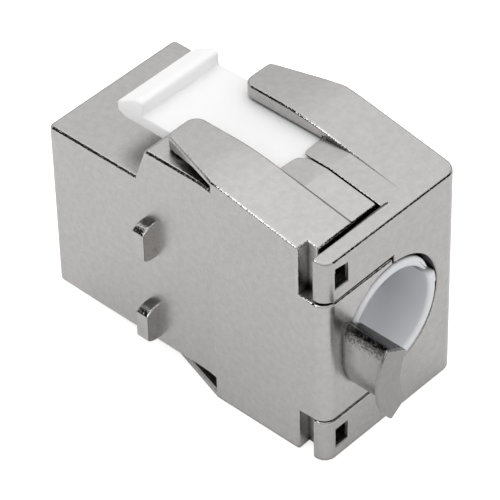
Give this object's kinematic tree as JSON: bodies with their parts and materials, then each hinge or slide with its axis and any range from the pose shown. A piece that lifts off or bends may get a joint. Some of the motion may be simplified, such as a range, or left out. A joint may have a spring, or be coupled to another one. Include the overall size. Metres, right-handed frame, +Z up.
{
  "type": "keystone jack",
  "caption": "Shielded keystone jack with a plug port in front, a snap-in latch on top, two hinged rear doors and a split cable collar with a saddle.",
  "frame": {"origin": "middle of the length and width, at the height of the doors' undersides, where the jack stands", "axes": "+X to the right seen from the cable end, +Y from the plug port towards the cable, +Z up towards the latch"},
  "size_m": [0.0172, 0.0342, 0.0226],
  "materials": {
    "zinc": "satin nickel plate on die-cast zinc",
    "white_plastic": "satin moulded",
    "black_plastic": "satin moulded",
    "board": "solder mask",
    "gold_plate": "gold plate",
    "tin_plate": "tin plate",
    "spring_steel": "rolled sheet"
  },
  "bodies": {
    "housing": {"front_housing": "zinc", "port_insert": "black_plastic", "circuit_board": "board", "terminal_block": "black_plastic", "wire_manager": "white_plastic", "contact_1": "gold_plate", "contact_2": "gold_plate", "contact_3": "gold_plate", "contact_4": "gold_plate", "contact_5": "gold_plate", "contact_6": "gold_plate", "contact_7": "gold_plate", "contact_8": "gold_plate", "terminal_1": "tin_plate", "terminal_2": "tin_plate", "terminal_3": "tin_plate", "terminal_4": "tin_plate", "terminal_5": "tin_plate", "terminal_6": "tin_plate", "terminal_7": "tin_plate", "terminal_8": "tin_plate", "shield_spring_left": "spring_steel", "shield_spring_right": "spring_steel"},
    "saddle_door": {"saddle_door": "zinc"},
    "cover_door": {"cover_door": "zinc"},
    "latch": {"latch": "white_plastic"}
  },
  "joints": [
    {"name": "cover_door_hinge", "type": "hinge", "parent": "housing", "child": "cover_door", "pos_m": [-0.0052, -0.00405, 0], "axis": [0, 0, 1], "range_deg": [0, 60]},
    {"name": "saddle_door_hinge", "type": "hinge", "parent": "housing", "child": "saddle_door", "pos_m": [0.0052, -0.00405, 0], "axis": [0, 0, -1], "range_deg": [0, 60]},
    {"name": "latch_hinge", "type": "hinge", "parent": "housing", "child": "latch", "pos_m": [0, 0.00405, 0.02062], "axis": [1, 0, 0], "range_deg": [0, 6], "stiffness_Nm_per_rad": 0.3}
  ],
  "couplings": [
    {"joint": "saddle_door_hinge", "follows": "cover_door_hinge", "ratio": 1}
  ]
}
